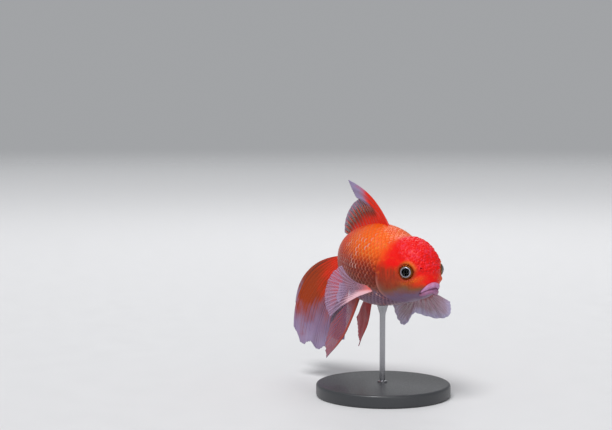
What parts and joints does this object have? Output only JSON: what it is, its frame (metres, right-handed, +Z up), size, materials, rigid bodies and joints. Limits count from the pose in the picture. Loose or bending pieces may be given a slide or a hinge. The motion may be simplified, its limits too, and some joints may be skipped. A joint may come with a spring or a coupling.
{
  "type": "goldfish",
  "caption": "Still, life-size fancy goldfish with a hooded head, a round body and a double tail, swimming with its fins spread, held by a slim rod on a round flat base.",
  "frame": {"origin": "middle of the stand base's underside, at the level of the floor", "axes": "+X from the tail to the snout, +Y to the fish's left, +Z up"},
  "size_m": [0.1204, 0.062, 0.0987],
  "materials": {
    "scaled_skin": "wet satin skin under metallic scales",
    "hood_skin": "wet bumpy skin",
    "lip_skin": "wet smooth skin",
    "fin": "clear wet membrane on rays",
    "eye": "polished",
    "base": "satin",
    "steel": "brushed"
  },
  "bodies": {
    "root": {"anal_fin_left": "fin", "anal_fin_right": "fin", "dorsal_fin": "fin", "eye_left": "eye", "eye_right": "eye", "gill_cover_left": "scaled_skin", "gill_cover_right": "scaled_skin", "head": "scaled_skin", "hood": "hood_skin", "lower_lip": "lip_skin", "pectoral_fin_left": "fin", "pectoral_fin_right": "fin", "pelvic_fin_left": "fin", "pelvic_fin_right": "fin", "stand_base": "base", "stand_rod": "steel", "tail_fin_left": "fin", "tail_fin_right": "fin", "tail_stalk": "scaled_skin", "trunk": "scaled_skin", "upper_lip": "lip_skin"}
  },
  "joints": []
}
